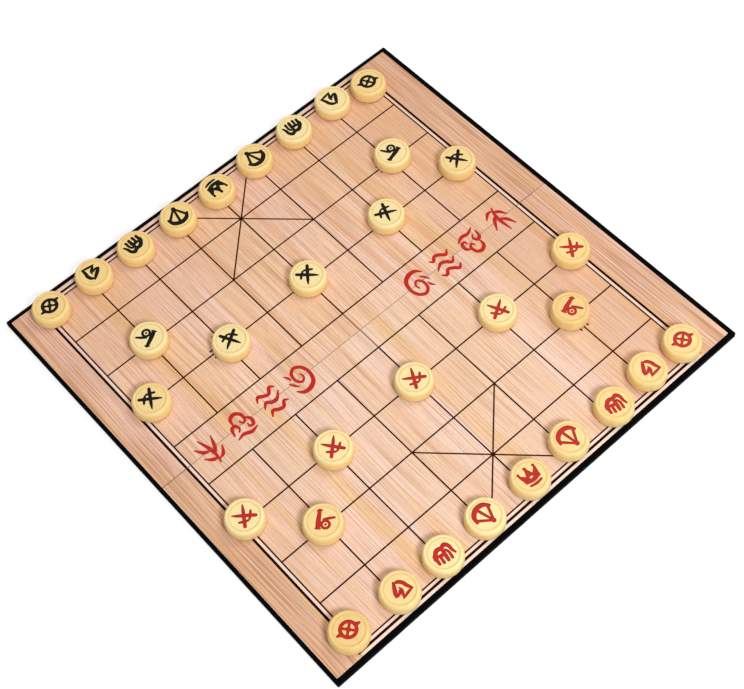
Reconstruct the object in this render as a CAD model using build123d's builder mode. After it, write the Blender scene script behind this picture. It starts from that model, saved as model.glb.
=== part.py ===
"""A folding xiangqi board, lying open with its 32 discs set out for the opening.

Each half of the board is a fibreboard core in a wrap of black book cloth. The core is in two panels, which
meet at a second seam under the middle file. The wrap covers the underside, goes up the three outer edges
and turns in over the rim, where its corners are mitred. A printed sheet is pasted on top and hides all of
the turn-in but a narrow black border. A strip of hinge cloth, let into both undersides, joins the halves,
so that the board folds with its playing face outwards.

Millimetres, +Z up. Z = 0 is the underside, Y = 0 is the fold, and the red player sits at -Y.
"""

import os

from build123d import *

# The points that the discs are played on
point_pitch = 41.0  # from one point to the next, along files and ranks
file_count = 9
rank_count = 10  # five on each side of the river, which is one pitch wide
grid_offset_x = -3.4  # the grid is printed this far off the board's middle
grid_offset_y = -0.5

# The board
side_margin = 32.5  # from an outermost file to the board's edge, were the grid in the middle
end_margin = 11.5  # from a back rank to the board's edge, likewise
seam_gap = 0.4  # between the two halves along the fold
cross_seam_x = grid_offset_x  # the second seam crosses the fold, under the middle file
cross_seam_gap = 0.4  # between the two panels of a half's core
core_thickness = 4.5
cloth_thickness = 0.5
sheet_thickness = 0.4

# The cloth wrap
turn_in = 12.0  # how far the wrap reaches in over the rim
edge_radius = 0.8  # where the wrap bends round the edges
corner_radius = 1.2  # seen from above
mitre_gap = 0.25  # between the two turn-ins at a corner

# The printed sheets
border_side = 3.8  # black border left beside a sheet, were it pasted in the middle
border_end = 4.1
sheet_offset_x = -0.9  # the sheets are pasted this far off the board's middle

# The hinge cloth
hinge_reach = 20.0  # from the fold to the cloth's edge
hinge_inset = 6.0  # from the cloth's end to the board's edge
hinge_clearance = 0.2  # between the cloth and the pocket that it lies in

# The discs
disc_diameter = 30.0
disc_thickness = 10.5
back_rank_inset = 2.5  # from the board's edge to a back rank's discs, before they are set off their place
bevel_drop = 2.2  # height of the bevel round the top
bevel_width = 1.5

# Where each disc stands: its kind, then its file and rank, counted from the board's left and from its
# own player's edge. They were set down by hand, so each is a little off its place, to +X and towards
# the river, in shares of the room between two neighbouring discs. A back rank's discs would overhang
# the board's edge on their points, so their place is further in.
black_discs = [
    ("chariot_1", 0, 0, 0.25, 0.15),
    ("horse_1", 1, 0, 0.35, 0.05),
    ("elephant_1", 2, 0, 0.2, 0.25),
    ("advisor_1", 3, 0, 0.25, 0.35),
    ("general", 4, 0, 0.1, 0.4),
    ("advisor_2", 5, 0, 0.1, 0.2),
    ("elephant_2", 6, 0, 0.2, 0.2),
    ("horse_2", 7, 0, 0.3, 0.15),
    ("chariot_2", 8, 0, -0.4, 0.8),
    ("cannon_1", 1, 2, 0, 0),
    ("cannon_2", 7, 2, 0.2, 0),
    ("soldier_1", 0, 3, 0.9, 0.25),
    ("soldier_2", 2, 3, 0.25, 0.4),
    ("soldier_3", 4, 3, 0, 0.1),
    ("soldier_4", 6, 3, 0, 0),
    ("soldier_5", 8, 3, -0.6, 0.1),
]
red_discs = [
    ("chariot_1", 0, 0, 0, 0.35),
    ("horse_1", 1, 0, 0.3, 0.15),
    ("elephant_1", 2, 0, 0.15, 0.05),
    ("advisor_1", 3, 0, 0.1, 0.1),
    ("general", 4, 0, 0.35, 0.1),
    ("advisor_2", 5, 0, 0.35, 0.3),
    ("elephant_2", 6, 0, 0.55, 0.05),
    ("horse_2", 7, 0, 0.3, 0.35),
    ("chariot_2", 8, 0, -0.2, 0.25),
    ("cannon_1", 1, 2, -0.2, 0),
    ("cannon_2", 7, 2, 0, 0.3),
    ("soldier_1", 0, 3, 0.1, 0),
    ("soldier_2", 2, 3, 0, -0.2),
    ("soldier_3", 4, 3, -0.2, -0.1),
    ("soldier_4", 6, 3, 0.1, -0.1),
    ("soldier_5", 8, 3, -0.2, 0),
]

# Sizes that follow
board_length = (file_count - 1) * point_pitch + 2 * side_margin
board_width = (rank_count - 1) * point_pitch + 2 * end_margin
half_length = board_length / 2
half_width = board_width / 2
seam_y = seam_gap / 2
wrap_top = cloth_thickness + core_thickness
board_top = wrap_top + sheet_thickness
core_end_y = half_width - cloth_thickness
sheet_length = board_length - 2 * border_side
sheet_end_y = half_width - border_end
disc_spare_room = point_pitch - disc_diameter


def strip(length, end_y, middle_x=0):
    """A rectangle from the fold's edge to end_y."""
    with Locations((middle_x, (seam_y + end_y) / 2)):
        Rectangle(length, end_y - seam_y)


def make_core_panels():
    """A half's two panels, left one first, rebated round their outer rim for the wrap's turn-in."""
    with BuildPart() as core:
        with BuildSketch(Plane.XY.offset(cloth_thickness)):
            strip(board_length - 2 * cloth_thickness, core_end_y)
        extrude(amount=core_thickness - cloth_thickness)
        with BuildSketch(Plane.XY.offset(core_thickness)):
            strip(board_length - 2 * turn_in, half_width - turn_in)
        extrude(amount=cloth_thickness)
        # The second seam
        with BuildSketch(Plane.XY.offset(cloth_thickness)):
            with Locations((cross_seam_x, half_width / 2)):
                Rectangle(cross_seam_gap, half_width)
        extrude(amount=core_thickness, mode=Mode.SUBTRACT)
    return core.part.solids().sort_by(Axis.X)


def make_wrap():
    """The book cloth: a shallow tray, open along the fold, with its rim turned in over the core."""
    with BuildPart() as wrap:
        with BuildSketch():
            strip(board_length, half_width)
        extrude(amount=wrap_top)
        corners = wrap.edges().filter_by(Axis.Z).group_by(Axis.Y)[-1]
        fillet(corners, corner_radius)
        rims = wrap.faces().filter_by(Axis.Z).edges()
        seam_edges = rims.group_by(Axis.Y)[0]
        fillet(rims - seam_edges, edge_radius)
        # The space that the core fills
        with BuildSketch(Plane.XY.offset(cloth_thickness)):
            strip(board_length - 2 * cloth_thickness, core_end_y)
        extrude(amount=core_thickness - cloth_thickness, mode=Mode.SUBTRACT)
        # The opening inside the turn-in
        with BuildSketch(Plane.XY.offset(core_thickness)):
            strip(board_length - 2 * turn_in, half_width - turn_in)
        extrude(amount=cloth_thickness, mode=Mode.SUBTRACT)
        # The pocket for the hinge cloth
        with BuildSketch():
            strip(board_length - 2 * hinge_inset, hinge_reach)
        extrude(amount=cloth_thickness, mode=Mode.SUBTRACT)
        # The mitres, from the opening's corners out to the board's corners
        with BuildSketch(Plane.XY.offset(core_thickness)):
            for side in (-1, 1):
                corner = (side * (half_length - turn_in / 2), half_width - turn_in / 2)
                with Locations(Location(corner, side * 45)):
                    Rectangle(2 * turn_in, mitre_gap)
        extrude(amount=cloth_thickness, mode=Mode.SUBTRACT)
    return wrap.part


def make_sheet():
    """The printed sheet, pasted on the core and over the turn-in."""
    with BuildPart() as sheet:
        with BuildSketch(Plane.XY.offset(wrap_top)):
            strip(sheet_length, sheet_end_y, middle_x=sheet_offset_x)
        extrude(amount=sheet_thickness)
    return sheet.part


def make_hinge_cloth():
    """One half's share of the hinge cloth, flush with the wrap around it."""
    with BuildPart() as hinge_cloth:
        with BuildSketch():
            strip(board_length - 2 * (hinge_inset + hinge_clearance), hinge_reach - hinge_clearance)
        extrude(amount=cloth_thickness)
    return hinge_cloth.part


def make_disc(base):
    """A moulded disc with a flat base and a bevelled top, standing on the plane."""
    with BuildPart() as disc:
        with BuildSketch(base):
            Circle(disc_diameter / 2)
        extrude(amount=disc_thickness)
        wall = disc.faces().filter_by(GeomType.CYLINDER)[0]
        top_edge = disc.edges().group_by(Axis.Z)[-1]
        chamfer(top_edge, bevel_drop, bevel_width, reference=wall)
    return disc.part


def disc_place(direction, file, rank, share_x, share_in):
    """The plane that a disc stands on. The black side's direction is 1 and the red side's is -1."""
    files_off = file - (file_count - 1) / 2
    ranks_off = (rank_count - 1) / 2 - rank
    y = grid_offset_y + direction * ranks_off * point_pitch
    if rank == 0:
        y = direction * (half_width - back_rank_inset - disc_diameter / 2)
    x = grid_offset_x + files_off * point_pitch + share_x * disc_spare_room
    return Plane((x, y - direction * share_in * disc_spare_room, board_top))


def save(part, name):
    """Write one piece under its own name."""
    part.label = name
    export_step(part, f"parts/{name}.step")


os.makedirs("parts", exist_ok=True)

left_panel, right_panel = make_core_panels()
for piece_name, black_piece in (
    ("core", left_panel),
    ("core_2", right_panel),
    ("wrap", make_wrap()),
    ("sheet", make_sheet()),
    ("hinge_cloth", make_hinge_cloth()),
):
    save(black_piece, f"black_side_{piece_name}")
    save(mirror(black_piece, about=Plane.XZ), f"red_side_{piece_name}")

for side_name, direction, discs in (("black", 1, black_discs), ("red", -1, red_discs)):
    for kind, file, rank, share_x, share_in in discs:
        place = disc_place(direction, file, rank, share_x, share_in)
        save(make_disc(place), f"{side_name}_{kind}")
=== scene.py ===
"""The looks of a folding xiangqi board with its 32 discs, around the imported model.

Sizes are in millimetres and are turned into metres where a mesh is made. The frame is the model's own:
+Z up, Z = 0 the underside, Y = 0 the fold, and the red player at -Y.
"""

import math

import bmesh
import bpy
import numpy as np
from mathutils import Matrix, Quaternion, Vector, noise
from mathutils.geometry import delaunay_2d_cdt


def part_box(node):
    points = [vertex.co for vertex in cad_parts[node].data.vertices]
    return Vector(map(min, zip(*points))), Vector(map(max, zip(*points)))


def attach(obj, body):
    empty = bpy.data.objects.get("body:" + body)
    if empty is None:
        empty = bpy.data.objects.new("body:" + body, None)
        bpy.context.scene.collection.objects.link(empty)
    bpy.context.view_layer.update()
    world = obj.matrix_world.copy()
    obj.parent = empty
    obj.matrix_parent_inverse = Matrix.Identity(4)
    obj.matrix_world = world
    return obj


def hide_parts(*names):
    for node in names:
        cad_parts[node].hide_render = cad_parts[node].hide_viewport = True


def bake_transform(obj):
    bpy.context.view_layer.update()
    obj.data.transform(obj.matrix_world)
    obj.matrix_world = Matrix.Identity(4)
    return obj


MM = 0.001

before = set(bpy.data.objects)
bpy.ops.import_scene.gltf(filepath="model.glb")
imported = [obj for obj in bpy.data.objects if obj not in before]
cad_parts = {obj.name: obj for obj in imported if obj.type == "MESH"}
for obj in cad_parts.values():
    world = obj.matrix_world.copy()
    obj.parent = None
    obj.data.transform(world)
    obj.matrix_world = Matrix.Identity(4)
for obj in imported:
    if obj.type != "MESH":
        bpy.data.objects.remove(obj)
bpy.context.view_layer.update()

# The camera, in metres and degrees
CAMERA_PLACE = (-0.33686, -0.48413, 0.98175)
CAMERA_AIM = (-0.00534, -0.01575, 0.0054)
CAMERA_ROLL = -7.44
LENS, SENSOR = 72.97, 36.0

# The printed grid
PITCH = 41.0
FILES, RANKS = 9, 10
GRID_X, GRID_Y = -3.4, -0.5
LINE_WIDTH = 1.2
FRAME_WIDTH = 2.0
FRAME_OFF = 3.7  # from an outermost grid line to the middle of the frame's line
BRACKET_IN, BRACKET_OUT = 3.4, 12.5  # where a bracket's arms start and end, from its point
BRACKET_WIDTH = 1.3
INK_HEIGHT = 0.04  # above the sheet
INK_DEPTH = 0.1  # below its face
SEAM_Y = 0.2  # each half starts this far from the fold
CREASE_HALF_WIDTH, CREASE_DEPTH = 0.4, 0.09  # of the crease in the sheets, over the cores' own seam
SHEET_CORNER = 0.6  # radius of a sheet's outer corners, seen from above
SHEET_EDGE = 0.07  # width of the softening along its cut edge

# The discs, whose turned profile is in (radius, height) points
DISC_SEGMENTS = 96
DISC_CURVE_STEPS = 3
DISC_FOOT = [(11.4, 0.7), (11.7, 0.62), (11.95, 0.2), (12.2, 0.08)]
DISC_WALL = [
    (13.9, 0.06), (14.6, 0.32), (14.92, 0.95), (15.0, 2.4), (14.98, 4.6), (14.86, 6.8), (14.5, 8.6),
]
DISC_SHOULDER = [(14.5, 8.6), (14.0, 9.55), (13.4, 10.2), (12.9, 10.46), (12.5, 10.48)]
DISC_GROOVE = [(12.5, 10.48), (12.1, 10.42), (11.6, 10.22), (11.1, 10.16), (10.6, 10.26)]
FACE_RADIUS, FACE_HEIGHT = 10.1, 10.36
MARK_RADIUS = 9.7
CARVED_DEPTH = 0.5
CARVED_SLOPE = 0.55  # how far a carved wall leans in, over its depth

SIDES = {"black": 1, "red": -1}


# ---------------- materials


def paint(red, green, blue):
    """A screen colour, from 0 to 255, as Blender's linear numbers."""

    def linear(share):
        if share <= 0.04045:
            return share / 12.92
        return ((share + 0.055) / 1.055) ** 2.4

    return (*(linear(value / 255) for value in (red, green, blue)), 1.0)


class Nodes:
    """An emptied node tree, and short ways to add nodes to it."""

    def __init__(self, owner):
        owner.use_nodes = True
        self.tree = owner.node_tree
        self.tree.nodes.clear()

    def put(self, socket, value):
        if isinstance(value, bpy.types.NodeSocket):
            self.tree.links.new(value, socket)
        else:
            socket.default_value = value

    def node(self, kind, values=None, **settings):
        made = self.tree.nodes.new("ShaderNode" + kind)
        for key, value in settings.items():
            setattr(made, key, value)
        for key, value in (values or {}).items():
            self.put(made.inputs[key], value)
        return made

    def coordinates(self, source="Object"):
        return self.node("TexCoord").outputs[source]

    def scaled(self, vector, scale, shift=(0, 0, 0)):
        made = self.node("Mapping", {"Vector": vector, "Location": shift, "Scale": scale})
        return made.outputs["Vector"]

    def noise(self, vector, detail=2.0, roughness=0.5, output=0):
        values = {"Vector": vector, "Scale": 1.0, "Detail": detail, "Roughness": roughness}
        return self.node("TexNoise", values).outputs[output]

    def speckle(self, vector, scale, detail=3.0, roughness=0.6):
        """Noise that is the same in every direction."""
        return self.noise(self.scaled(vector, (scale, scale, scale)), detail, roughness)

    def cells(self, vector):
        made = self.node("TexVoronoi", {"Vector": vector, "Scale": 1.0}, feature="SMOOTH_F1")
        return made.outputs["Distance"]

    def between(self, value, low, high, to_low=0.0, to_high=1.0, interpolation="SMOOTHSTEP"):
        """The value's place between low and high, carried over to the other two."""
        values = {"Value": value, "From Min": low, "From Max": high}
        values.update({"To Min": to_low, "To Max": to_high})
        made = self.node("MapRange", values, interpolation_type=interpolation)
        return made.outputs["Result"]

    def math(self, operation, first, second=0.0):
        return self.node("Math", {0: first, 1: second}, operation=operation).outputs[0]

    def vector_math(self, operation, first, second):
        return self.node("VectorMath", {0: first, 1: second}, operation=operation).outputs[0]

    def length(self, vector):
        return self.node("VectorMath", {0: vector}, operation="LENGTH").outputs["Value"]

    def parts(self, vector):
        return self.node("SeparateXYZ", {"Vector": vector}).outputs

    def mix(self, share, first, second):
        values = {0: share, 6: first, 7: second}  # the colour sockets
        return self.node("Mix", values, data_type="RGBA").outputs[2]


class Look(Nodes):
    """A material with one Principled shader."""

    def __init__(self, name, specular, roughness=0.5):
        self.material = bpy.data.materials.new(name)
        super().__init__(self.material)
        self.shader = self.node("BsdfPrincipled")
        self.node("OutputMaterial", {"Surface": self.shader.outputs["BSDF"]})
        self.set("Specular IOR Level", specular)
        self.set("Roughness", roughness)

    def set(self, name, value):
        self.put(self.shader.inputs[name], value)

    def tinted(self, colour, amount, low, high, most, tint):
        """The colour, with a tint over it that comes in between low and high."""
        return self.mix(self.between(amount, low, high, 0, most), colour, tint)

    def roughen(self, amount, low, high):
        self.set("Roughness", self.between(amount, 0.3, 0.7, low, high))

    def bump(self, height, distance, strength):
        values = {"Height": height, "Distance": distance, "Strength": strength}
        self.set("Normal", self.node("Bump", values).outputs["Normal"])


# The wood print's streaks, from wide to fine: each noise's scale across and along the grain, its detail
# and its roughness, the span of the noise over which a tint comes in, the tint's share and the tint
WIDE_STREAKS = [
    ((46, 1.8, 3.0), (0.5, 0.66), 0.95, paint(246, 202, 150)),
    ((100, 2.2, 3.0), (0.54, 0.7), 0.7, paint(240, 182, 144)),
    ((260, 3.2, 3.0), (0.56, 0.76), 0.35, paint(255, 232, 212)),
    ((520, 5, 4.0, 0.62), (0.5, 0.7), 0.22, paint(226, 174, 134)),
]
FINE_STREAKS = [
    ((1300, 12, 3.0, 0.6), (0.44, 0.62), 1, paint(202, 148, 106)),
    ((1500, 240), (0.5, 0.72), 0.4, paint(206, 150, 112)),
]
MARGIN_STREAKS = [
    ((70, 2, 3.0), (0.44, 0.6), 0.65, paint(226, 170, 108)),
    ((260, 3.2, 3.0), (0.5, 0.68), 0.8, paint(246, 204, 186)),
    ((1250, 12, 3.0), (0.42, 0.6), 1, paint(186, 126, 94)),
]
# Where the print changes, measured outwards from the outermost files and back ranks
WARM_SPAN = (-80 * MM, -20 * MM)  # it gets warmer towards the side margins
MARGIN_SPAN = (3 * MM, 9 * MM)  # it turns into the margin's brown
MARGIN_SHARE = 0.7
PALE_START = (0.3 * MM, 0.8 * MM)  # a pale band round the grid comes in
PALE_END = (2.6 * MM, 3.1 * MM)  # the band goes again, at the sides
PALE_SHARE = 0.7
# Measured from the board's middle
HALVES_SPAN = (-1 * MM, 1 * MM)  # the left half of the print turns into the right one
FAR_SHADE_SPAN = (40 * MM, 190 * MM)  # painted shade that darkens the print towards the black player's edge
FAR_SHADE_SHARE = 0.27
FOLD_SHADE = (0.4 * MM, 1.0 * MM)  # half the width of the painted shade along the fold
FOLD_SHADE_SHARE = 0.65  # of the painted shade beyond the grid
FOLD_SHADE_END = (176 * MM, 184 * MM)  # the painted shade stops short of the right-hand edge
CREASE_SHADE = (0.35 * MM, 0.7 * MM)  # half the width of the painted shade along the crease
SWAY_WAVES, SWAY = (11, 3.5, 1), (0.014, 0, 0)  # the grain bends sideways by this many metres


def printed_wood(name, pink, tan, margins, warmth, streaks, shift):
    """Laminated paper with a print of pale wood, its grain along the files. The print is browner in the
    two side margins, warmer beside them and pale round the grid; it has painted shade towards the black
    player's edge, along the fold in the side margins and along the crease.
    Margins and warmth are for the left half, then for the right one."""
    look = Look(name, specular=0.2)
    here = look.coordinates()
    place = look.scaled(here, (1, 1, 1), shift)
    sway = look.noise(look.scaled(place, SWAY_WAVES), output=1)
    sway = look.vector_math("SUBTRACT", sway, (0.5, 0.5, 0.5))
    sway = look.vector_math("MULTIPLY", sway, SWAY)
    place = look.vector_math("ADD", place, sway)

    def grain(across, along, detail=2.0, roughness=0.5):
        return look.noise(look.scaled(place, (across, along, 1)), detail, roughness)

    def streaked(colour, rows, share=1):
        for waves, span, most, tint in rows:
            colour = look.tinted(colour, grain(*waves), *span, most * share, tint)
        return colour

    colour = look.tinted(pink, grain(18, 1.8), 0.38, 0.62, 1, tan)
    colour = streaked(streaked(colour, WIDE_STREAKS), FINE_STREAKS, streaks)

    parts = look.parts(here)
    off_middle = look.vector_math("SUBTRACT", here, (GRID_X * MM, GRID_Y * MM, 0))
    off = look.parts(look.vector_math("ABSOLUTE", off_middle, (0, 0, 0)))
    beside = look.math("SUBTRACT", off["X"], (FILES - 1) / 2 * PITCH * MM)
    beyond = look.math("SUBTRACT", off["Y"], (RANKS - 1) / 2 * PITCH * MM)
    warm = look.between(parts["X"], *HALVES_SPAN, *warmth)
    colour = look.tinted(colour, beside, *WARM_SPAN, warm, paint(212, 150, 100))
    brown = streaked(look.mix(look.between(parts["X"], *HALVES_SPAN), *margins), MARGIN_STREAKS)
    margin = look.between(beside, *MARGIN_SPAN)
    colour = look.mix(look.math("MULTIPLY", margin, MARGIN_SHARE), colour, brown)
    band = look.between(look.math("MAXIMUM", beside, beyond), *PALE_START)
    band = look.math("MULTIPLY", band, look.between(beside, *PALE_END, PALE_SHARE, 0))
    colour = look.mix(band, colour, paint(250, 228, 216))

    # painted shade towards the black player's edge
    colour = look.tinted(colour, parts["Y"], *FAR_SHADE_SPAN, FAR_SHADE_SHARE, paint(214, 156, 118))
    # painted shade along the fold, in the side margins, and along the crease
    fold = look.between(look.math("ABSOLUTE", parts["Y"]), *FOLD_SHADE, 1, 0)
    fold = look.math("MULTIPLY", fold, look.between(beside, 0, 3 * MM, 0, FOLD_SHADE_SHARE))
    fold = look.math("MULTIPLY", fold, look.between(parts["X"], *FOLD_SHADE_END, 1, 0))
    colour = look.mix(fold, colour, paint(176, 122, 92))
    crease = look.between(off["X"], *CREASE_SHADE, 0.95, 0)
    colour = look.mix(crease, colour, paint(142, 90, 64))
    look.set("Base Color", colour)
    look.roughen(grain(300, 20), 0.4, 0.52)
    look.bump(grain(1500, 30), 0.00002, 0.4)
    return look.material


def paper_edge(name):
    """The sheet's cut edge, browner along the fold as painted shade."""
    look = Look(name, specular=0.2, roughness=0.85)
    place = look.coordinates()
    flecks = look.noise(look.scaled(place, (1500, 1500, 9000)), 3.0)
    across = look.parts(place)["Y"]
    # painted shade on the cut edge along the fold
    wear_and_shade = look.between(look.math("ABSOLUTE", across), *FOLD_SHADE, 0.4, 0)
    colour = look.mix(flecks, paint(226, 200, 180), paint(244, 226, 210))
    look.set("Base Color", look.mix(wear_and_shade, colour, paint(196, 150, 120)))
    look.bump(flecks, 0.00003, 0.5)
    return look.material


def printed_ink(name, colour, wear_and_shade):
    """Ink with the slight unevenness of a cheap print."""
    look = Look(name, specular=0.0)
    patches = look.speckle(look.coordinates(), 450)
    look.set("Base Color", look.tinted(colour, patches, 0.45, 0.8, 0.7, wear_and_shade))
    look.roughen(patches, 0.42, 0.6)
    return look.material


def book_cloth(name):
    """Black leather-grained book cloth."""
    look = Look(name, specular=0.02)
    place = look.coordinates()
    pebbles = look.cells(look.scaled(place, (950, 950, 950)))
    fine = look.speckle(place, 3200)
    rubbed = look.speckle(place, 60, 4.0)
    height = look.math("ADD", pebbles, look.math("MULTIPLY", fine, 0.25))
    colour = look.tinted(paint(6, 5, 5), pebbles, 0.1, 0.7, 1, paint(3, 3, 3))
    look.set("Base Color", look.tinted(colour, rubbed, 0.55, 0.8, 0.5, paint(13, 11, 10)))
    look.roughen(rubbed, 0.55, 0.75)
    look.bump(height, 0.00012, 0.5)
    return look.material


def fibreboard(name):
    """Pressed fibres in thin layers."""
    look = Look(name, specular=0.15, roughness=0.92)
    place = look.coordinates()
    layers = look.noise(look.scaled(place, (90, 90, 3200)), 3.0, 0.65)
    fibres = look.noise(look.scaled(place, (700, 700, 2600)), 4.0, 0.7)
    colour = look.tinted(paint(150, 117, 82), layers, 0.35, 0.7, 1, paint(112, 84, 58))
    look.set("Base Color", look.tinted(colour, fibres, 0.5, 0.75, 0.7, paint(186, 156, 116)))
    look.bump(fibres, 0.00015, 0.6)
    return look.material


def woven_cloth(name):
    """The hinge cloth's plain weave, laid out on its UV map so that it bends with the cloth."""
    look = Look(name, specular=0.1, roughness=0.85)
    threads = look.scaled(look.coordinates("UV"), (1600, 1600, 1))
    parts = look.parts(threads)
    waves = [look.math("SINE", look.math("MULTIPLY", parts[axis], math.pi)) for axis in "XY"]
    weave = look.math("MULTIPLY", *waves)
    lint = look.noise(look.scaled(threads, (0.7, 0.7, 1)), 3.0, 0.6)
    height = look.math("ADD", weave, look.math("MULTIPLY", lint, 0.6))
    colour = look.tinted(paint(12, 11, 11), weave, -0.6, 0.9, 1, paint(30, 28, 28))
    look.set("Base Color", look.tinted(colour, lint, 0.5, 0.8, 0.5, paint(40, 38, 37)))
    look.bump(height, 0.00012, 0.7)
    return look.material


def disc_plastic(name, top, cloud):
    """Moulded plastic of the top's colour, golden down the wall, with painted shade darkening the wall's
    lower part, a painted contact shadow where it meets the board and painted shade in the groove round
    its face."""
    look = Look(name, specular=0.3)
    place = look.coordinates()
    height = look.parts(place)["Z"]
    clouds = look.speckle(place, 150, 3.0, 0.55)
    grain = look.speckle(place, 900, 2.0)
    colour = look.tinted(paint(248, 213, 140), height, 6.4 * MM, 9.9 * MM, 1, top)
    # painted shade: the wall darkens towards the board
    colour = look.mix(look.between(height, 0, 4 * MM, 0.6, 0), colour, paint(226, 166, 90))
    colour = look.tinted(colour, clouds, 0.45, 0.75, 0.6, cloud)
    # painted contact shadow: a dark brown band at the foot, where the disc meets the board
    colour = look.mix(look.between(height, 0.3 * MM, 1.7 * MM, 0.85, 0), colour, paint(150, 92, 48))
    # painted shade in the groove round the face: darker and more orange there
    radius = look.length(look.vector_math("MULTIPLY", place, (1, 1, 0)))
    groove_shade = look.between(radius, 10.2 * MM, 11.2 * MM, 0, 0.5)
    groove_shade = look.math("MULTIPLY", groove_shade, look.between(radius, 11.3 * MM, 12.3 * MM, 1, 0))
    groove_shade = look.math("MULTIPLY", groove_shade, look.between(height, 9.9 * MM, 10.1 * MM))
    colour = look.mix(groove_shade, colour, paint(232, 178, 100))
    look.set("Base Color", look.tinted(colour, grain, 0.5, 0.8, 0.3, paint(255, 236, 180)))
    look.roughen(clouds, 0.36, 0.48)
    look.bump(grain, 0.00004, 0.35)
    return look.material


def mark_paint(name, colour, dark):
    """Enamel in a carved mark."""
    look = Look(name, specular=0.12)
    pools = look.speckle(look.coordinates(), 700)
    look.set("Base Color", look.tinted(colour, pools, 0.4, 0.8, 0.8, dark))
    look.roughen(pools, 0.3, 0.45)
    look.bump(pools, 0.00006, 0.5)
    return look.material


WRAP_CLOTH = book_cloth("book_cloth_look")
CORE_BOARD = fibreboard("fibreboard_look")
HINGE_WEAVE = woven_cloth("hinge_cloth_look")
PAPER_EDGE = paper_edge("paper_edge_look")
WOOD_PRINTS = {
    "black": printed_wood(
        "printed_wood_black",
        pink=paint(255, 216, 197),
        tan=paint(252, 211, 174),
        margins=(paint(255, 216, 195), paint(243, 206, 181)),
        warmth=(0.06, 0.27),
        streaks=0.72,
        shift=(0.31, 0.12, 0),
    ),
    "red": printed_wood(
        "printed_wood_red",
        pink=paint(252, 218, 200),
        tan=paint(249, 212, 180),
        margins=(paint(235, 193, 167), paint(246, 205, 181)),
        warmth=(0.12, 0.4),
        streaks=0.6,
        shift=(0.87, 0.56, 0),
    ),
}
FRAME_INK = printed_ink("frame_ink_look", paint(38, 12, 2), paint(58, 24, 8))
LINE_INK = printed_ink("line_ink_look", paint(56, 16, 3), paint(78, 32, 11))
PALACE_INKS = {
    "black": LINE_INK,
    "red": printed_ink("palace_ink_look", paint(62, 20, 5), paint(86, 38, 15)),
}
RIVER_INK = printed_ink("river_ink_look", paint(200, 46, 42), paint(168, 52, 44))
DISC_PLASTICS = {  # by the shade's initial
    shade[0]: disc_plastic(f"disc_plastic_{shade}_look", top, cloud)
    for shade, top, cloud in (
        ("pale", paint(253, 230, 167), paint(246, 220, 148)),
        ("cream", paint(248, 218, 150), paint(240, 206, 132)),
        ("golden", paint(251, 217, 144), paint(243, 200, 124)),
        ("amber", paint(242, 205, 134), paint(236, 190, 114)),
    )
}
# Each side's paint for a mark's floor, then for its carved walls; the darker red of the red marks' walls
# is painted shade
MARK_PAINTS = {
    "red": (
        mark_paint("mark_red_look", paint(200, 46, 40), paint(176, 34, 30)),
        mark_paint("mark_red_wall_shade_look", paint(128, 26, 20), paint(150, 34, 26)),
    ),
    "black": (
        mark_paint("mark_black_look", paint(18, 11, 7), paint(10, 6, 4)),
        mark_paint("mark_black_edge_look", paint(16, 11, 6), paint(30, 22, 12)),
    ),
}


# ---------------- meshes

# A brush stroke
STROKE_STEPS = 6  # from one of its points to the next
CAP_STEPS = 8  # round each of its ends
LEAST_STROKE = 0.16  # its least width

LEAST_AREA = 1e-4  # polygons below this are left out
TOUCH = 1e-4  # points nearer than this are one
SAME = 0.01  # two measures nearer than this are the same


def add_object(name, mesh, materials, at=(0, 0, 0), turn=0.0):
    """A mesh as a piece, its place in millimetres and its turn about Z in degrees."""
    for material in materials:
        mesh.materials.append(material)
    made = bpy.data.objects.new(name, mesh)
    made.location = Vector(at) * MM
    made.rotation_euler.z = math.radians(turn)
    bpy.context.scene.collection.objects.link(made)
    return made


def to_mesh(name, shape):
    """Turns a bmesh in millimetres into a mesh in metres."""
    bmesh.ops.scale(shape, vec=(MM, MM, MM), verts=shape.verts)
    bmesh.ops.recalc_face_normals(shape, faces=shape.faces)
    mesh = bpy.data.meshes.new(name)
    shape.to_mesh(mesh)
    shape.free()
    return mesh


def span_rows(shape, rows):
    """Smooth faces from each row of points to the next, all of them with as many points."""
    for first, second in zip(rows, rows[1:]):
        for corners in zip(first, first[1:], second[1:], second):
            shape.faces.new(corners).smooth = True


def along_curve(a, b, c, d, t):
    """A value a share t of the way from b to c, on a smooth curve through all four."""
    return 0.5 * (
        2 * b + (c - a) * t + (2 * a - 5 * b + 4 * c - d) * t**2 + (3 * b - a - 3 * c + d) * t**3
    )


def curve_through(points, steps):
    """Points along a smooth curve through the given ones, of any number of values each."""
    ends = [points[0], *points, points[-1]]
    made = []
    for corners in zip(ends, ends[1:], ends[2:], ends[3:]):
        for step in range(steps):
            made.append(tuple(along_curve(*values, step / steps) for values in zip(*corners)))
    made.append(tuple(points[-1]))
    return made


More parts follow.
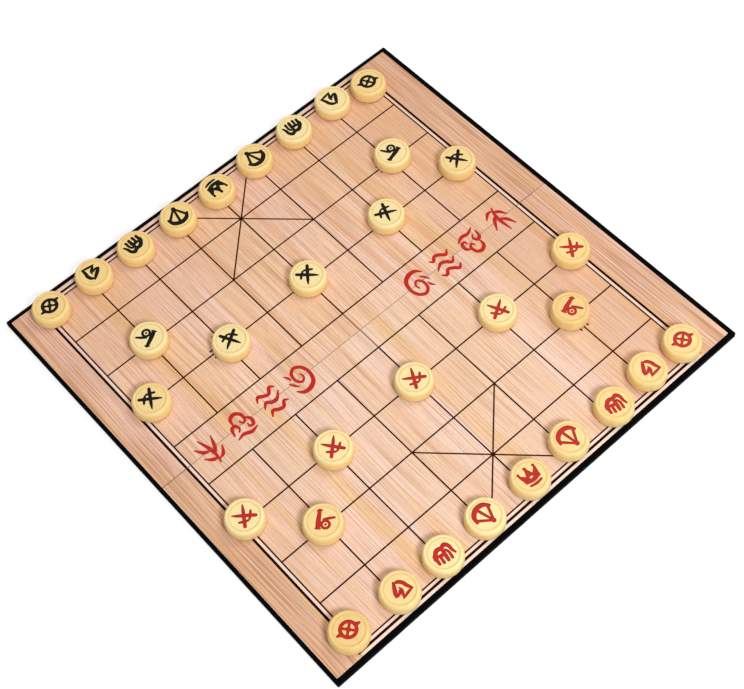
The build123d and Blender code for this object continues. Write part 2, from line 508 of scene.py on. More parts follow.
def brush_stroke(points, inset=0.0):
    """Polygons that cover one brush stroke through (x, y, width) points, each side drawn in by inset."""
    path = curve_through(points, STROKE_STEPS) if len(points) > 2 else list(points)
    rims = []
    for index, (x, y, width) in enumerate(path):
        before, after = path[max(index - 1, 0)], path[min(index + 1, len(path) - 1)]
        along = Vector((after[0] - before[0], after[1] - before[1])).normalized()
        half = max(width / 2 - inset, LEAST_STROKE / 2)
        rims.append((Vector((x, y)), along, Vector((-along.y, along.x)), half))
    polygons = []
    for (at, _, side, half), (next_at, _, next_side, next_half) in zip(rims, rims[1:]):
        left, right = at + side * half, at - side * half
        next_left, next_right = next_at + next_side * next_half, next_at - next_side * next_half
        polygons.append([right, next_right, next_left, left])
    for (at, along, side, half), way in ((rims[0], -1), (rims[-1], 1)):
        cap = []
        for step in range(CAP_STEPS + 1):
            angle = math.pi * step / CAP_STEPS
            cap.append(at + half * (way * along * math.sin(angle) - way * side * math.cos(angle)))
        polygons.append(cap)
    return polygons


def rectangle(low_x, low_y, high_x, high_y):
    corners = ((low_x, low_y), (high_x, low_y), (high_x, high_y), (low_x, high_y))
    return [Vector(corner) for corner in corners]


def signed_area(polygon):
    return 0.5 * sum(a.x * b.y - b.x * a.y for a, b in zip(polygon, polygon[1:] + polygon[:1]))


def merged(groups, window=None):
    """Triangles that cover each group of polygons once, inside the window polygon if there is one. Where
    groups overlap, the first counts. Returns the points, and each triangle with its group's number."""
    points, faces, owners = [], [], []
    for number, polygons in enumerate([*groups, [window]] if window else groups):
        for polygon in polygons:
            area = signed_area(polygon)
            if abs(area) < LEAST_AREA:
                continue
            start = len(points)
            points.extend(polygon)
            corners = list(range(start, start + len(polygon)))
            faces.append(corners if area > 0 else corners[::-1])
            owners.append(number)
    found, _, triangles, _, _, sources = delaunay_2d_cdt(points, [], faces, 1, TOUCH)
    kept = []
    for triangle, source in zip(triangles, sources):
        numbers = {owners[face] for face in source}
        if window and len(groups) not in numbers:
            continue
        numbers.discard(len(groups))
        if numbers:
            kept.append((tuple(triangle), min(numbers)))
    return found, kept


def outline_edges(triangles):
    """The edges that only one of the triangles has, in its own direction."""
    seen = set()
    for corners, _ in triangles:
        seen.update(zip(corners, corners[1:] + corners[:1]))
    return [(a, b) for a, b in seen if (b, a) not in seen]


def slab(groups, low, high, window=None):
    """A flat solid that covers the groups of polygons, each group with its own material number."""
    points, triangles = merged(groups, window)
    shape = bmesh.new()
    used = sorted({corner for corners, _ in triangles for corner in corners})
    levels = [{i: shape.verts.new((*points[i], z)) for i in used} for z in (low, high)]
    numbers = {}
    for corners, number in triangles:
        top = shape.faces.new([levels[1][i] for i in corners])
        bottom = shape.faces.new([levels[0][i] for i in reversed(corners)])
        top.material_index = bottom.material_index = number
        for edge in zip(corners, corners[1:] + corners[:1]):
            numbers[edge] = number
    for a, b in outline_edges(triangles):
        wall = shape.faces.new([levels[0][a], levels[0][b], levels[1][b], levels[1][a]])
        wall.material_index = numbers[(a, b)]
    return shape


def inside(point, edges):
    """Whether a point is inside the loops that the edges make."""
    a, b = edges[:, 0], edges[:, 1]
    spans = (a[:, 1] > point[1]) != (b[:, 1] > point[1])
    a, b = a[spans], b[spans]
    cross = a[:, 0] + (point[1] - a[:, 1]) * (b[:, 0] - a[:, 0]) / (b[:, 1] - a[:, 1])
    return np.count_nonzero(cross > point[0]) % 2 == 1


def loops_of(polygons):
    """The outline of the polygons' union, as pairs of points."""
    points, triangles = merged([polygons])
    return np.array([[points[a], points[b]] for a, b in outline_edges(triangles)])


def turned_rings(shape):
    """A disc without its face: the rings of its turned profile, the last of them round the face."""
    profile = [*DISC_FOOT, DISC_WALL[0]]
    for points in (DISC_WALL, DISC_SHOULDER, DISC_GROOVE):
        profile += curve_through(points, DISC_CURVE_STEPS)[1:]
    profile.append((FACE_RADIUS, FACE_HEIGHT))
    angles = [2 * math.pi * step / DISC_SEGMENTS for step in range(DISC_SEGMENTS)]
    rings = []
    for radius, z in profile:
        rings.append([shape.verts.new((radius * math.cos(t), radius * math.sin(t), z)) for t in angles])
    span_rows(shape, [[*row, row[0]] for row in rings])
    shape.faces.new(rings[0][::-1])
    return rings


def carved_disc(name, strokes):
    """A turned disc with a mark carved in its face. Material 0 is the disc, 1 the mark, 2 its walls."""
    shape = bmesh.new()
    rim = [Vector((v.co.x, v.co.y)) for v in turned_rings(shape)[-1]]
    lean = CARVED_SLOPE * CARVED_DEPTH
    wide = loops_of([polygon for stroke in strokes for polygon in brush_stroke(stroke)])
    narrow = loops_of([polygon for stroke in strokes for polygon in brush_stroke(stroke, lean)])
    points, edges = list(rim), [(i, (i + 1) % len(rim)) for i in range(len(rim))]
    for start, end in [*wide, *narrow]:
        points += [Vector(start), Vector(end)]
        edges.append((len(points) - 2, len(points) - 1))
    found, _, triangles, _, _, _ = delaunay_2d_cdt(points, edges, [], 0, TOUCH)
    kinds = []
    for corners in triangles:
        middle = sum((found[i] for i in corners), Vector((0, 0))) / len(corners)
        kinds.append(1 if inside(middle, narrow) else 2 if inside(middle, wide) else 0)
    low = {i for corners, kind in zip(triangles, kinds) if kind == 1 for i in corners}
    verts = []
    for index, point in enumerate(found):
        z = FACE_HEIGHT - CARVED_DEPTH if index in low else FACE_HEIGHT
        verts.append(shape.verts.new((*point, z)))
    for corners, kind in zip(triangles, kinds):
        face = shape.faces.new([verts[i] for i in corners])
        face.material_index = kind
    bmesh.ops.remove_doubles(shape, verts=shape.verts, dist=TOUCH)
    for edge in shape.edges:
        if len({face.material_index for face in edge.link_faces}) > 1:
            edge.smooth = False
    return to_mesh(name, shape)


# ---------------- the board


def grid_x(file):
    return GRID_X + (file - (FILES - 1) / 2) * PITCH


def grid_y(rank):
    """Ranks are counted from the black player's edge."""
    return GRID_Y + ((RANKS - 1) / 2 - rank) * PITCH


def line(x0, y0, x1, y1, width=LINE_WIDTH):
    """A line along X or Y whose ends reach half its width past the given points."""
    half = width / 2
    (left, right), (near, far) = sorted((x0, x1)), sorted((y0, y1))
    return rectangle(left - half, near - half, right + half, far + half)


def brackets(file, rank):
    """The four small angles round a point, or two at an outermost file."""
    made = []
    for side in (-1, 1):
        if not 0 <= file + side <= FILES - 1:
            continue
        for way in (-1, 1):
            x, y = grid_x(file) + side * BRACKET_IN, grid_y(rank) + way * BRACKET_IN
            reach = BRACKET_OUT - BRACKET_IN
            made.append(line(x, y, x + side * reach, y, BRACKET_WIDTH))
            made.append(line(x, y, x, y + way * reach, BRACKET_WIDTH))
    return made


def grid_lines():
    """The files, which stop at the river but for the outermost two, the ranks and the brackets."""
    made = [line(grid_x(0), grid_y(rank), grid_x(FILES - 1), grid_y(rank)) for rank in range(RANKS)]
    for file in range(FILES):
        for first, last in ((0, 4), (5, 9)):
            made.append(line(grid_x(file), grid_y(first), grid_x(file), grid_y(last)))
    for file in (0, FILES - 1):
        made.append(line(grid_x(file), grid_y(4), grid_x(file), grid_y(5)))
    for files, ranks in (((1, 7), (2, 7)), (range(0, FILES, 2), (3, 6))):
        for rank in ranks:
            for file in files:
                made += brackets(file, rank)
    return made


def frame_lines():
    """The heavier frame outside the grid."""
    left, right = grid_x(0) - FRAME_OFF, grid_x(FILES - 1) + FRAME_OFF
    near, far = grid_y(RANKS - 1) - FRAME_OFF, grid_y(0) + FRAME_OFF
    made = [line(left, y, right, y, FRAME_WIDTH) for y in (near, far)]
    return made + [line(x, near, x, far, FRAME_WIDTH) for x in (left, right)]


def palace_lines():
    """The two diagonals in each palace."""
    made = []
    for first, last in ((0, 2), (7, 9)):
        for start, end in (((3, first), (5, last)), ((3, last), (5, first))):
            (x0, y0), (x1, y1) = [(grid_x(file), grid_y(rank)) for file, rank in (start, end)]
            made += brush_stroke([(x0, y0, LINE_WIDTH), (x1, y1, LINE_WIDTH)])
    return made


# Four river marks, drawn as strokes of (x, y, width) from the mark's middle
CURL = [
    [(-9, -5, 1.0), (-5.5, -7.6, 2.4), (0.5, -8, 3.0), (6.4, -5.4, 2.6), (8.6, 0, 2.2), (6.6, 5, 2.2),
     (1.6, 7.2, 2.2), (-3, 5, 2.0), (-3.8, 0.6, 1.8), (-0.6, -2.2, 1.7), (2.8, -0.4, 1.4),
     (2.2, 2.4, 0.9)],
    [(-9.4, 1.4, 0.8), (-7.4, -1.2, 1.7), (-5.2, -3.4, 0.8)],
    [(-8.6, 6.6, 0.8), (-6.8, 4.4, 1.6), (-6.4, 2.4, 0.7)],
]
CLOUD = [
    [(-9.2, -3.4, 1.2), (-8, 0.6, 2.2), (-4.6, 1.6, 2.2), (-3, -1, 1.6), (-4.8, -2.8, 1.0)],
    [(-5.2, 2.4, 1.0), (-4.4, 6.2, 2.2), (0, 8, 2.6), (4.2, 6.2, 2.2), (4.6, 2.2, 1.8), (1.8, 0.8, 1.5),
     (0.6, 2.8, 1.0)],
    [(5.4, 3.2, 1.2), (8.6, 1, 2.2), (7.8, -2.6, 2.2), (4.6, -2.8, 1.6), (4.4, -0.8, 1.0)],
    [(-8.6, -6.6, 1.0), (-3, -5.2, 2.2), (3, -6.2, 2.4), (8.8, -4.8, 1.0)],
]
RIPPLES = [
    [(-9.2, 5.2, 1.0), (-6, 7.4, 2.2), (-2, 5.4, 2.4), (2, 4.4, 2.2), (5.8, 7, 2.2), (9, 5.4, 0.9)],
    [(-8.8, -0.6, 0.9), (-5, 1.8, 2.2), (-1, -0.4, 2.5), (3.4, -1, 2.3), (8.8, 2, 0.9)],
    [(-9, -6.6, 1.0), (-5.6, -4.2, 2.2), (-1.6, -6.2, 2.4), (2.6, -7, 2.2), (6, -4.6, 2.0), (9, -6, 0.8)],
]
REEDS = [
    [(-1.4, -9, 0.9), (0.4, -4, 2.0), (0.2, 2, 2.2), (-1.6, 8.8, 0.9)],
    [(0.2, -3.4, 1.4), (4, -0.6, 2.4), (8.2, 5.6, 0.8)],
    [(0, 0, 1.2), (-4.6, 1.8, 2.4), (-8.4, 6.8, 0.8)],
    [(0.4, -5.8, 1.2), (-3.8, -4.8, 2.3), (-8.2, -1, 0.8)],
    [(0.6, -7.2, 1.0), (4.6, -6.6, 2.2), (8.8, -3, 0.8)],
]
# Each mark's place along the river in pitches from the middle file, and its turn in degrees
RIVER_MARKS = [
    (-3.56, REEDS, 8), (-2.84, CLOUD, -6), (-2.12, RIPPLES, 5), (-1.46, CURL, 0),
    (1.46, CURL, 180), (2.13, RIPPLES, 176), (2.83, CLOUD, 184), (3.56, REEDS, 172),
]
RIVER_MARK_SCALE = (0.98, 1.4, 1.3)  # of a mark's width, its height and its strokes


def river_marks():
    """The marks, each turned and scaled about its middle, then moved to its place."""
    wide, high, heavy = RIVER_MARK_SCALE
    made = []
    for files_off, strokes, turn in RIVER_MARKS:
        sin, cos = math.sin(math.radians(turn)), math.cos(math.radians(turn))
        middle = GRID_X + files_off * PITCH
        for stroke in strokes:
            turned = [(x * cos - y * sin, x * sin + y * cos, width) for x, y, width in stroke]
            placed = [(middle + wide * x, GRID_Y + high * y, heavy * width) for x, y, width in turned]
            made += brush_stroke(placed)
    return made


def sheet_shape(low, high, outer_y):
    """The sheet's solid, creased over the cores' seam. Material 0 is its face and 1 its cut edge."""
    shape = bmesh.new()
    bmesh.ops.create_cube(shape, size=1)
    middle, size = (low + high) / 2, high - low
    for vert in shape.verts:
        vert.co = Vector(m + c * s for m, c, s in zip(middle, vert.co, size))
    corners = []
    for edge in shape.edges:
        (x0, y0, _), (x1, y1, _) = (vert.co for vert in edge.verts)
        if max(abs(x0 - x1), abs(y0 - outer_y), abs(y1 - outer_y)) < SAME:
            corners.append(edge)
    bmesh.ops.bevel(shape, geom=corners, offset=SHEET_CORNER, segments=4, affect="EDGES", profile=0.5)
    top = [e for e in shape.edges if all(v.co.z > high.z - SAME for v in e.verts)]
    bmesh.ops.bevel(shape, geom=top, offset=SHEET_EDGE, segments=2, affect="EDGES", profile=0.5)
    for offset in (-CREASE_HALF_WIDTH, 0, CREASE_HALF_WIDTH):
        parts = [*shape.verts, *shape.edges, *shape.faces]
        bmesh.ops.bisect_plane(shape, geom=parts, plane_co=(GRID_X + offset, 0, 0), plane_no=(1, 0, 0))
    for vert in shape.verts:
        if abs(vert.co.x - GRID_X) < SAME and vert.co.z > middle.z:
            vert.co.z -= CREASE_DEPTH
    shape.normal_update()
    for face in shape.faces:
        face.material_index = 0 if face.normal.z > 0.95 else 1
    return shape


def make_sheet_piece(side):
    """The printed sheet, with rounded corners and a slightly softened cut edge, and its print's lines."""
    low, high = (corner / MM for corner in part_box(f"{side}_side_sheet"))
    shape = sheet_shape(low, high, low.y if side == "red" else high.y)
    name = f"{side}_printed_sheet"
    piece = add_object(name, to_mesh(name, shape), [WOOD_PRINTS[side], PAPER_EDGE])
    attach(piece, f"{side}_half")
    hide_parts(f"{side}_side_sheet")
    window = rectangle(low.x, low.y, high.x, high.y)
    line_inks = [LINE_INK, PALACE_INKS[side], FRAME_INK]
    for name, groups, inks in (
        ("grid", [grid_lines(), palace_lines(), frame_lines()], line_inks),
        ("river_marks", [river_marks()], [RIVER_INK]),
    ):
        shape = slab(groups, high.z - INK_DEPTH, high.z + INK_HEIGHT, window)
        ink = add_object(f"{side}_{name}", to_mesh(f"{side}_{name}", shape), inks)
        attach(ink, f"{side}_half")


# The wrap: its cloth, its bends and its turned-in corners
CLOTH_THICKNESS = 0.5
CORNER_RADIUS, EDGE_RADIUS = 1.2, 0.8
TURN_IN = 12.0
CORNER_ROOM = 14.0  # the sides' plain cross sections stop this far from the corners
TUCK_HALF_WIDTH, TUCK_DEPTH = 0.35, 0.2  # the fold along a corner's mitre
PANEL_START = 3.0  # the flat panel underneath starts this far in
WRAP_STEP = 8.0  # between two cross sections
CORNER_STEPS, BEND_STEPS = 6, 5  # round a corner and round an edge
TOP_ROWS = (2.0, 3.0, 4.4)  # how far in the rows of points on the turn-in are
RAW_EDGE = (0.3, 0.15)  # how far back and down the turn-in's cut edge is eased
RIPPLE = 0.12  # how far the cloth's outside wanders inwards
RIPPLE_WAVES, RIPPLE_SHIFT = 0.09, Vector((31, 7, 2))  # of the noise that it follows
WELD = 1e-3  # points of the wrap nearer than this are one
WRAP_SHARP = 32  # edges that turn by more degrees than this are sharp
# The pocket for the hinge cloth: from its end to the board's edge, and from the fold to its side
POCKET_INSET, POCKET_REACH = 6.0, 20.0


def wrap_sections(half_length, half_width):
    """Where the wrap's cross sections stand, round its three outer sides. Each is a function that gives
    the place of a point at a depth in from the edge, and whether the section is on a mitre."""

    def along_side(way, v):
        return lambda depth: (way * (half_length - depth), v)

    def along_end(u):
        return lambda depth: (u, half_width - depth)

    def round_corner(way, angle):
        def place(depth):
            back, reach = max(depth, CORNER_RADIUS), max(CORNER_RADIUS - depth, 0)
            x = half_length - back + reach * math.cos(angle)
            return (way * x, half_width - back + reach * math.sin(angle))

        return place

    def beside_mitre(way, on_side):
        def place(depth):
            back = max(depth, CORNER_RADIUS) + TUCK_HALF_WIDTH
            if on_side:
                return (way * (half_length - depth), half_width - back)
            return (way * (half_length - back), half_width - depth)

        return place

    side_end, end_end = half_width - CORNER_ROOM, half_length - CORNER_ROOM
    side_steps = round(side_end / WRAP_STEP)
    side_rows = [SEAM_Y + (side_end - SEAM_Y) * k / side_steps for k in range(side_steps + 1)]
    end_steps = round(2 * end_end / WRAP_STEP)
    end_columns = [end_end * (2 * k / end_steps - 1) for k in range(end_steps + 1)]
    arc = [math.pi / 2 * k / CORNER_STEPS for k in range(CORNER_STEPS + 1)]

    def from_fold(way):
        """One side and its corner."""
        side = [(along_side(way, v), False) for v in side_rows]
        corner = [(round_corner(way, angle), True) for angle in arc]
        return [*side, (beside_mitre(way, True), False), *corner, (beside_mitre(way, False), False)]

    return [*from_fold(-1), *((along_end(u), False) for u in end_columns), *reversed(from_fold(1))]


def wrap_profile(top):
    """The wrap's cross section as (depth, z, outside) points: from the panel underneath, out round the
    edge and in over the top, then back along the cloth's inner face."""
    arc = [math.pi / 2 * k / BEND_STEPS for k in range(BEND_STEPS + 1)]
    bend = [(EDGE_RADIUS * (1 - math.sin(a)), EDGE_RADIUS * (1 - math.cos(a))) for a in arc]
    outer = [(PANEL_START, 0.0), (2 * EDGE_RADIUS, 0.0), *bend]
    outer += [(0.0, top * k / 4) for k in (1, 2, 3)]
    outer += [(EDGE_RADIUS * (1 - math.cos(a)), top - EDGE_RADIUS * (1 - math.sin(a))) for a in arc]
    outer += [(depth, top) for depth in (CORNER_RADIUS + 0.05, *TOP_ROWS, TURN_IN - RAW_EDGE[0])]
    outer += [(TURN_IN, top - RAW_EDGE[1])]
    inner_top, inner = top - CLOTH_THICKNESS, CLOTH_THICKNESS
    back = [(depth, inner_top) for depth in (TURN_IN, TOP_ROWS[-1], inner)]
    back += [(inner, inner), (PANEL_START, inner)]
    return [(*point, True) for point in outer] + [(*point, False) for point in back]


def wrap_point(place, depth, z, outside, on_mitre, top):
    """A point of the wrap, a little tucked in on a mitre and a little uneven down the sides."""
    x, y = place(depth)
    if outside and on_mitre and depth > CORNER_RADIUS and z > top / 2:
        z -= TUCK_DEPTH
    if outside and depth < CLOTH_THICKNESS and 0 < z < top and SEAM_Y + 1 < y:
        wander = 0.5 + 0.5 * noise.noise(Vector((x, y, z)) * RIPPLE_WAVES + RIPPLE_SHIFT)
        x, y = place(min(depth + RIPPLE * min(max(wander, 0), 1), CLOTH_THICKNESS))
    return x, y, z


def wrap_shape(half_length, half_width, top):
    """The wrap at +Y: its bent rim, and its panel underneath with the pocket cut out of it."""
    shape = bmesh.new()
    profile = wrap_profile(top)
    rows = []
    for place, on_mitre in wrap_sections(half_length, half_width):
        points = [wrap_point(place, *point, on_mitre, top) for point in profile]
        rows.append([shape.verts.new(point) for point in points])
    span_rows(shape, rows)
    shape.faces.new(rows[0])
    shape.faces.new(rows[-1][::-1])

    x = half_length - POCKET_INSET
    pocket = [(x, SEAM_Y), (x, POCKET_REACH), (-x, POCKET_REACH), (-x, SEAM_Y)]
    for z, column in ((0.0, 0), (CLOTH_THICKNESS, -1)):
        outline = [row[column].co.xy for row in rows] + [Vector(point) for point in pocket]
        edges = [(k, (k + 1) % len(outline)) for k in range(len(outline))]
        found, _, triangles, _, _, _ = delaunay_2d_cdt(outline, edges, [], 1, TOUCH)
        verts = [shape.verts.new((*point, z)) for point in found]
        for corners in triangles:
            shape.faces.new([verts[k] for k in corners])
    panel_x = half_length - PANEL_START
    walls = [(panel_x, SEAM_Y), *pocket, (-panel_x, SEAM_Y)]
    levels = (0, CLOTH_THICKNESS)
    span_rows(shape, [[shape.verts.new((*point, z)) for point in walls] for z in levels])
    bmesh.ops.remove_doubles(shape, verts=shape.verts, dist=WELD)
    for face in shape.faces:
        face.smooth = True
    return shape


def make_wrap(side):
    """The book cloth round one half's cores, open along the fold."""
    low, high = (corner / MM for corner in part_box(f"{side}_side_wrap"))
    half_length, half_width = high.x, max(abs(low.y), abs(high.y))
    shape = wrap_shape(half_length, half_width, high.z)
    for vert in shape.verts:
        vert.co.y *= SIDES[side]
    name = f"{side}_book_cloth_wrap"
    piece = add_object(name, to_mesh(name, shape), [WRAP_CLOTH])
    piece.data.set_sharp_from_angle(angle=math.radians(WRAP_SHARP))
    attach(piece, f"{side}_half")
    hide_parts(f"{side}_side_wrap")


for side in SIDES:
    make_sheet_piece(side)
    make_wrap(side)
    for panel in ("core", "core_2"):
        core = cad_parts[f"{side}_side_{panel}"]
        core.data.materials.clear()
        core.data.materials.append(CORE_BOARD)


# ---------------- the hinge cloth

HINGE_BEND = 0.35  # the rows of points are packed within this distance of the fold, where the real cloth bends
HINGE_STEPS, HINGE_COLUMNS = 12, 24
HINGE_ROWS = (10, 3, 1)  # the other rows of points, from the fold
HINGE_EDGE = 0.15  # how far in the outermost rows and columns but one are
HINGE_SHARP = 40  # degrees


def make_hinge_cloth():
    """One strip across the fold, which both halves' shares stand for in the model."""
    low, high = (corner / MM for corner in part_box("red_side_hinge_cloth"))
    reach = -low.y
    rows = [-reach, -reach + HINGE_EDGE, *(-row for row in HINGE_ROWS)]
    rows += [HINGE_BEND * (2 * step / HINGE_STEPS - 1) for step in range(HINGE_STEPS + 1)]
    rows += [*reversed(HINGE_ROWS), reach - HINGE_EDGE, reach]
    inner = [low.x + (high.x - low.x) * k / HINGE_COLUMNS for k in range(1, HINGE_COLUMNS)]
    columns = [low.x, low.x + HINGE_EDGE, *inner, high.x - HINGE_EDGE, high.x]
    shape = bmesh.new()
    uv = shape.loops.layers.uv.new("weave")
    bottom, top = ([[shape.verts.new((x, y, z)) for x in columns] for y in rows] for z in (low.z, high.z))
    span_rows(shape, top)
    span_rows(shape, bottom)
    for end in (0, -1):
        span_rows(shape, [bottom[end], top[end]])
        span_rows(shape, [[row[end] for row in level] for level in (bottom, top)])
    for face in shape.faces:
        for loop in face.loops:
            loop[uv].uv = (loop.vert.co.x * MM, loop.vert.co.y * MM)
    piece = add_object("hinge_cloth", to_mesh("hinge_cloth", shape), [HINGE_WEAVE])
    piece.data.set_sharp_from_angle(angle=math.radians(HINGE_SHARP))
    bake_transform(piece)
    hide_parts("red_side_hinge_cloth", "black_side_hinge_cloth")


make_hinge_cloth()


# ---------------- the discs


def ring(radius, width, x=0.0, y=0.0, steps=24):
    """A stroke all the way round."""
    angles = [2 * math.pi * step / steps for step in range(steps + 1)]
    return [(x + radius * math.cos(t), y + radius * math.sin(t), width) for t in angles]


def dot(x, y, width):
    return [(x - 0.05, y, width), (x + 0.05, y, width)]


def spoke(angle, start, end, start_width, end_width):
    cos, sin = math.cos(angle), math.sin(angle)
    return [(start * cos, start * sin, start_width), (end * cos, end * sin, end_width)]


def mirrored(strokes):
    """The strokes turned over left to right, then as they are."""
    return [[(way * x, y, width) for x, y, width in stroke] for way in (-1, 1) for stroke in strokes]


# Each kind's mark, as brush strokes of (x, y, width), made to fit the disc later
MARKS = {
    # a wheel on its axle
    "chariot": [
        ring(6.5, 3.0),
        dot(0, 0, 4.6),
        *[spoke(math.pi * (step / 2 + 0.25), 1.2, 6, 2.0, 2.6) for step in range(4)],
        [(-10.2, 0.5, 2.0), (-7.6, 0, 3.8)],
        [(7.6, 0, 3.8), (10.2, -0.5, 2.0)],
    ],
    # a horse's head
    "horse": [
        [(1.4, 9.4, 1.4), (-0.4, 6.6, 3.6), (-3.4, 3.2, 4.4), (-6.4, -0.2, 4.4), (-8.0, -2.6, 3.0)],
        [(-6.6, -3.8, 2.0), (-4.0, -3.0, 2.8), (-1.2, -1.0, 2.0)],
        [(0.8, 7.8, 2.2), (4.6, 5.8, 4.0), (6.9, 1.6, 4.2), (7.2, -3.0, 4.0), (8.0, -7.8, 3.2)],
        [(1.0, 1.0, 1.6), (0.6, -2.6, 3.2), (-1.8, -5.4, 3.4), (-3.6, -8.4, 2.4)],
        [(-5.0, -9.2, 1.6), (2.0, -8.8, 3.2), (9.0, -9.2, 1.8)],
    ],
    # an elephant
    "elephant": [
        [(-8.0, -7.0, 3.0), (-7.6, 0, 3.8), (-3.8, 4.6, 4.4), (1.2, 4.6, 4.0), (4.8, 6.0, 4.2),
         (7.6, 3.0, 3.6), (8.2, -1.4, 3.0), (9.6, -5.2, 2.0)],
        [(0.8, 2.4, 3.0), (0.8, -3, 3.6), (0.6, -8.0, 3.2)],
        [(-6.2, -0.6, 2.6), (-2.6, -1.4, 3.6), (0.4, -0.8, 2.8)],
        [(-3.8, -1.8, 2.6), (-3.9, -8.0, 3.0)],
        [(3.2, 1.4, 2.4), (4.8, -1.8, 2.6), (4.7, -7.9, 2.8)],
        [(-8.8, 1.6, 1.8), (-9.8, -2.2, 1.6)],
    ],
    # an open fan
    "advisor": [
        [(-9.2, 1.6, 2.6), (-6.2, 6.6, 4.2), (0, 8.8, 4.4), (6.2, 6.6, 4.2), (9.2, 1.6, 2.6)],
        dot(0, -8.2, 4.2),
        *[[(x * 0.12, -7.0, 2.2), (x, y, 2.7)] for x, y in ((-7.8, 2.4), (0.0, 6.0), (7.8, 2.4))],
    ],
    # a crown
    "general": [
        [(-7.4, -4.0, 3.2), (0, -5.0, 4.4), (7.4, -4.0, 3.2)],
        [(-6.4, -8.8, 2.2), (0, -9.6, 3.0), (6.4, -8.8, 2.2)],
        [(0, 0.0, 2.0), (0, 8.6, 3.4)],
        *mirrored(
            [
                [(6.9, -3.2, 3.4), (8.8, 4.4, 2.8)],
                [(8.4, 3.8, 2.4), (3.6, -1.8, 3.6)],
                [(3.4, -1.8, 3.4), (0, 6.0, 3.0)],
                dot(9.0, 6.9, 3.0),
            ]
        ),
    ],
    # a field gun
    "cannon": [
        [(-8.4, 0.4, 4.4), (-4.0, 2.6, 5.2), (2.0, 5.4, 4.6), (8.6, 8.2, 3.8)],
        [(7.2, 9.8, 2.0), (9.8, 6.4, 2.0)],
        ring(4.0, 2.9, -1.8, -4.6, 18),
        dot(-1.8, -4.6, 2.6),
        [(2.0, -0.4, 2.8), (5.6, -4.2, 3.2), (9.2, -8.6, 2.4)],
        [(-10.2, 2.0, 2.0), (-8.2, -2.0, 2.0)],
    ],
    # two crossed swords
    "soldier": mirrored(
        [
            [(-7.6, 9.0, 1.4), (-3.6, 4.2, 3.4), (3.6, -3.8, 3.8), (7.8, -8.6, 3.6)],
            [(0.9, -6.6, 2.4), (4.4, -4.4, 3.2), (8.2, -1.4, 2.4)],
        ]
    ),
}


def fitted(strokes):
    """The strokes scaled about the disc's middle until they just fit inside the mark's radius."""
    reach = max(math.hypot(x, y) + width / 2 for stroke in strokes for x, y, width in stroke)
    scale = MARK_RADIUS / reach
    return [[tuple(scale * value for value in point) for point in stroke] for stroke in strokes]


# Each side's discs, how far each was turned when it was set down, in degrees, and its shade's initial
DISC_NAMES = """
chariot_1 horse_1 elephant_1 advisor_1 general advisor_2 elephant_2 horse_2 chariot_2 cannon_1 cannon_2
soldier_1 soldier_2 soldier_3 soldier_4 soldier_5
""".split()
TURNS = {
    "black": [14, -9, 6, -12, 8, 17, -5, 10, -16, 5, -8, 12, -15, 4, 20, -7],
    "red": [-6, 11, -9, 15, -4, 7, -13, 5, -10, 18, -7, 9, -5, 13, -17, 6],
}
SHADES = {"black": "ggggggppgppcpppc", "red": "acppccgggcappppg"}

disc_meshes = {kind: carved_disc(f"disc_{kind}", fitted(strokes)) for kind, strokes in MARKS.items()}


def make_disc(side, disc, turn, shade):
    """One disc, which faces its own player but for its turn."""
    name = f"{side}_{disc}"
    kind = disc.split("_")[0]
    low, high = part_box(name)
    mesh = disc_meshes[kind].copy()
    mesh.name = f"mesh_{name}"
    middle = (low + high) / 2 / MM
    facing = 180 if side == "black" else 0
    place = (middle.x, middle.y, low.z / MM)
    looks = [DISC_PLASTICS[shade], *MARK_PAINTS[side]]
    piece = add_object(f"{name}_disc", mesh, looks, place, facing + turn)
    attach(piece, name)
    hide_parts(name)


for side in SIDES:
    for disc in zip(DISC_NAMES, TURNS[side], SHADES[side]):
        make_disc(side, *disc)


# ---------------- the studio

WORLD_LIGHT = 0.37
WORLD_COLOUR = (1.0, 0.92, 0.82, 1.0)
FLOOR_REACH, FLOOR_Z = 5.0, -0.00005  # in metres
FLOOR_GLOW_SPAN, FLOOR_GLOW = (0.5, 2.5), (0.7, 0.86)  # the glow's strengths at these distances
# Each lamp's place and size in metres, its power in watts and its colour
LAMPS = {
    "key": ((-0.155, -1.265, 1.39), 0.5, 23.6, (0.822, 0.9, 1.0)),
    "fill": ((1.003, 0.088, 1.611), 0.9, 9.3, (1.0, 0.96, 0.9)),
}


def sees_background(nodes):
    """1 for the rays that show the background: those from the camera, a mirror or glass."""
    rays = nodes.node("LightPath").outputs
    others = nodes.math("MAXIMUM", rays["Is Glossy Ray"], rays["Is Transmission Ray"])
    return nodes.math("MAXIMUM", rays["Is Camera Ray"], others)


def make_world():
    """A background that is seen as white and lights the scene with its own strength and colour."""
    world = bpy.data.worlds.new("studio")
    bpy.context.scene.world = world
    nodes = Nodes(world)
    light = nodes.node("Background", {"Color": WORLD_COLOUR, "Strength": WORLD_LIGHT})
    seen = nodes.node("Background", {"Color": (1, 1, 1, 1), "Strength": 1.0})
    mix = nodes.node("MixShader", {0: sees_background(nodes), 1: light.outputs[0], 2: seen.outputs[0]})
    nodes.node("OutputWorld", {"Surface": mix.outputs[0]})


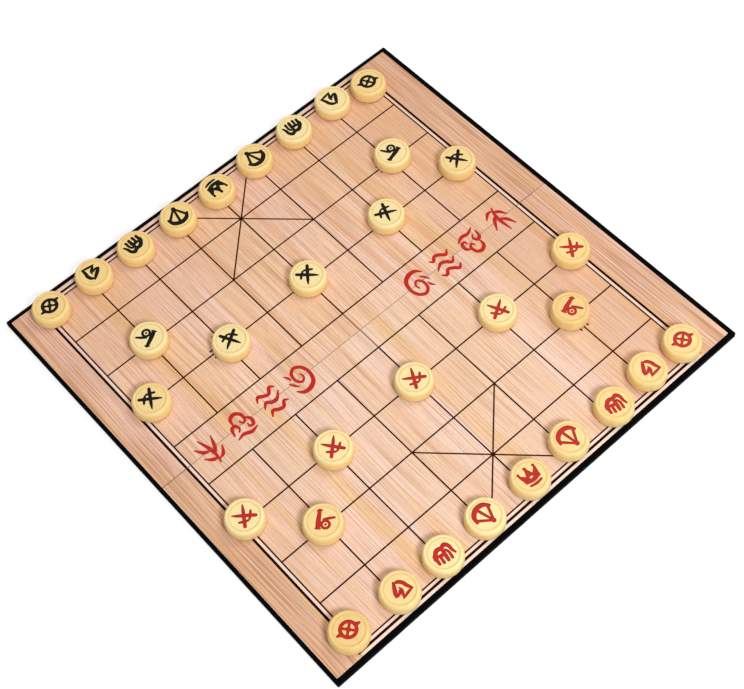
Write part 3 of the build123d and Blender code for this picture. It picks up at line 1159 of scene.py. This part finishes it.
def make_floor():
    """A white floor that shows the object's shadow faintly, and glows more where the light fades."""
    mesh = bpy.data.meshes.new("floor")
    square = rectangle(-FLOOR_REACH, -FLOOR_REACH, FLOOR_REACH, FLOOR_REACH)
    mesh.from_pydata([(*corner, FLOOR_Z) for corner in square], [], [(0, 1, 2, 3)])
    material = bpy.data.materials.new("floor_look")
    nodes = Nodes(material)
    away = nodes.length(nodes.coordinates())
    strength = nodes.between(away, *FLOOR_GLOW_SPAN, *FLOOR_GLOW, "LINEAR")
    glow = nodes.node("Emission", {"Strength": strength})
    shaded = nodes.node("BsdfDiffuse", {"Color": (0.4, 0.4, 0.4, 1)})
    total = nodes.node("AddShader", {0: shaded.outputs[0], 1: glow.outputs[0]})
    plain = nodes.node("BsdfDiffuse", {"Color": (0.8, 0.8, 0.8, 1)})
    mix = nodes.node("MixShader", {0: sees_background(nodes), 1: plain.outputs[0], 2: total.outputs[0]})
    nodes.node("OutputMaterial", {"Surface": mix.outputs[0]})
    add_object("floor", mesh, [material])


def add_aimed(name, data, place, aim=(0, 0, 0), roll=0.0):
    """A lamp or a camera that looks from its place at its aim, rolled by some degrees."""
    made = bpy.data.objects.new(name, data)
    made.location = place
    made.rotation_mode = "QUATERNION"
    turn = (Vector(aim) - Vector(place)).to_track_quat("-Z", "Y")
    made.rotation_quaternion = turn @ Quaternion((0, 0, 1), math.radians(roll))
    bpy.context.scene.collection.objects.link(made)
    return made


def add_lamp(name, place, size, watts, colour):
    """A soft round lamp that points at the middle of the board."""
    data = bpy.data.lights.new(name, "AREA")
    data.shape, data.size, data.energy, data.color = "DISK", size, watts, colour
    add_aimed(name, data, place)


def add_camera():
    data = bpy.data.cameras.new("camera")
    data.lens, data.sensor_width = LENS, SENSOR
    data.clip_start, data.clip_end = 0.05, 50.0
    bpy.context.scene.camera = add_aimed("camera", data, CAMERA_PLACE, CAMERA_AIM, CAMERA_ROLL)


make_world()
make_floor()
for name, lamp in LAMPS.items():
    add_lamp(name, *lamp)
add_camera()
bpy.context.scene.view_settings.view_transform = "Standard"
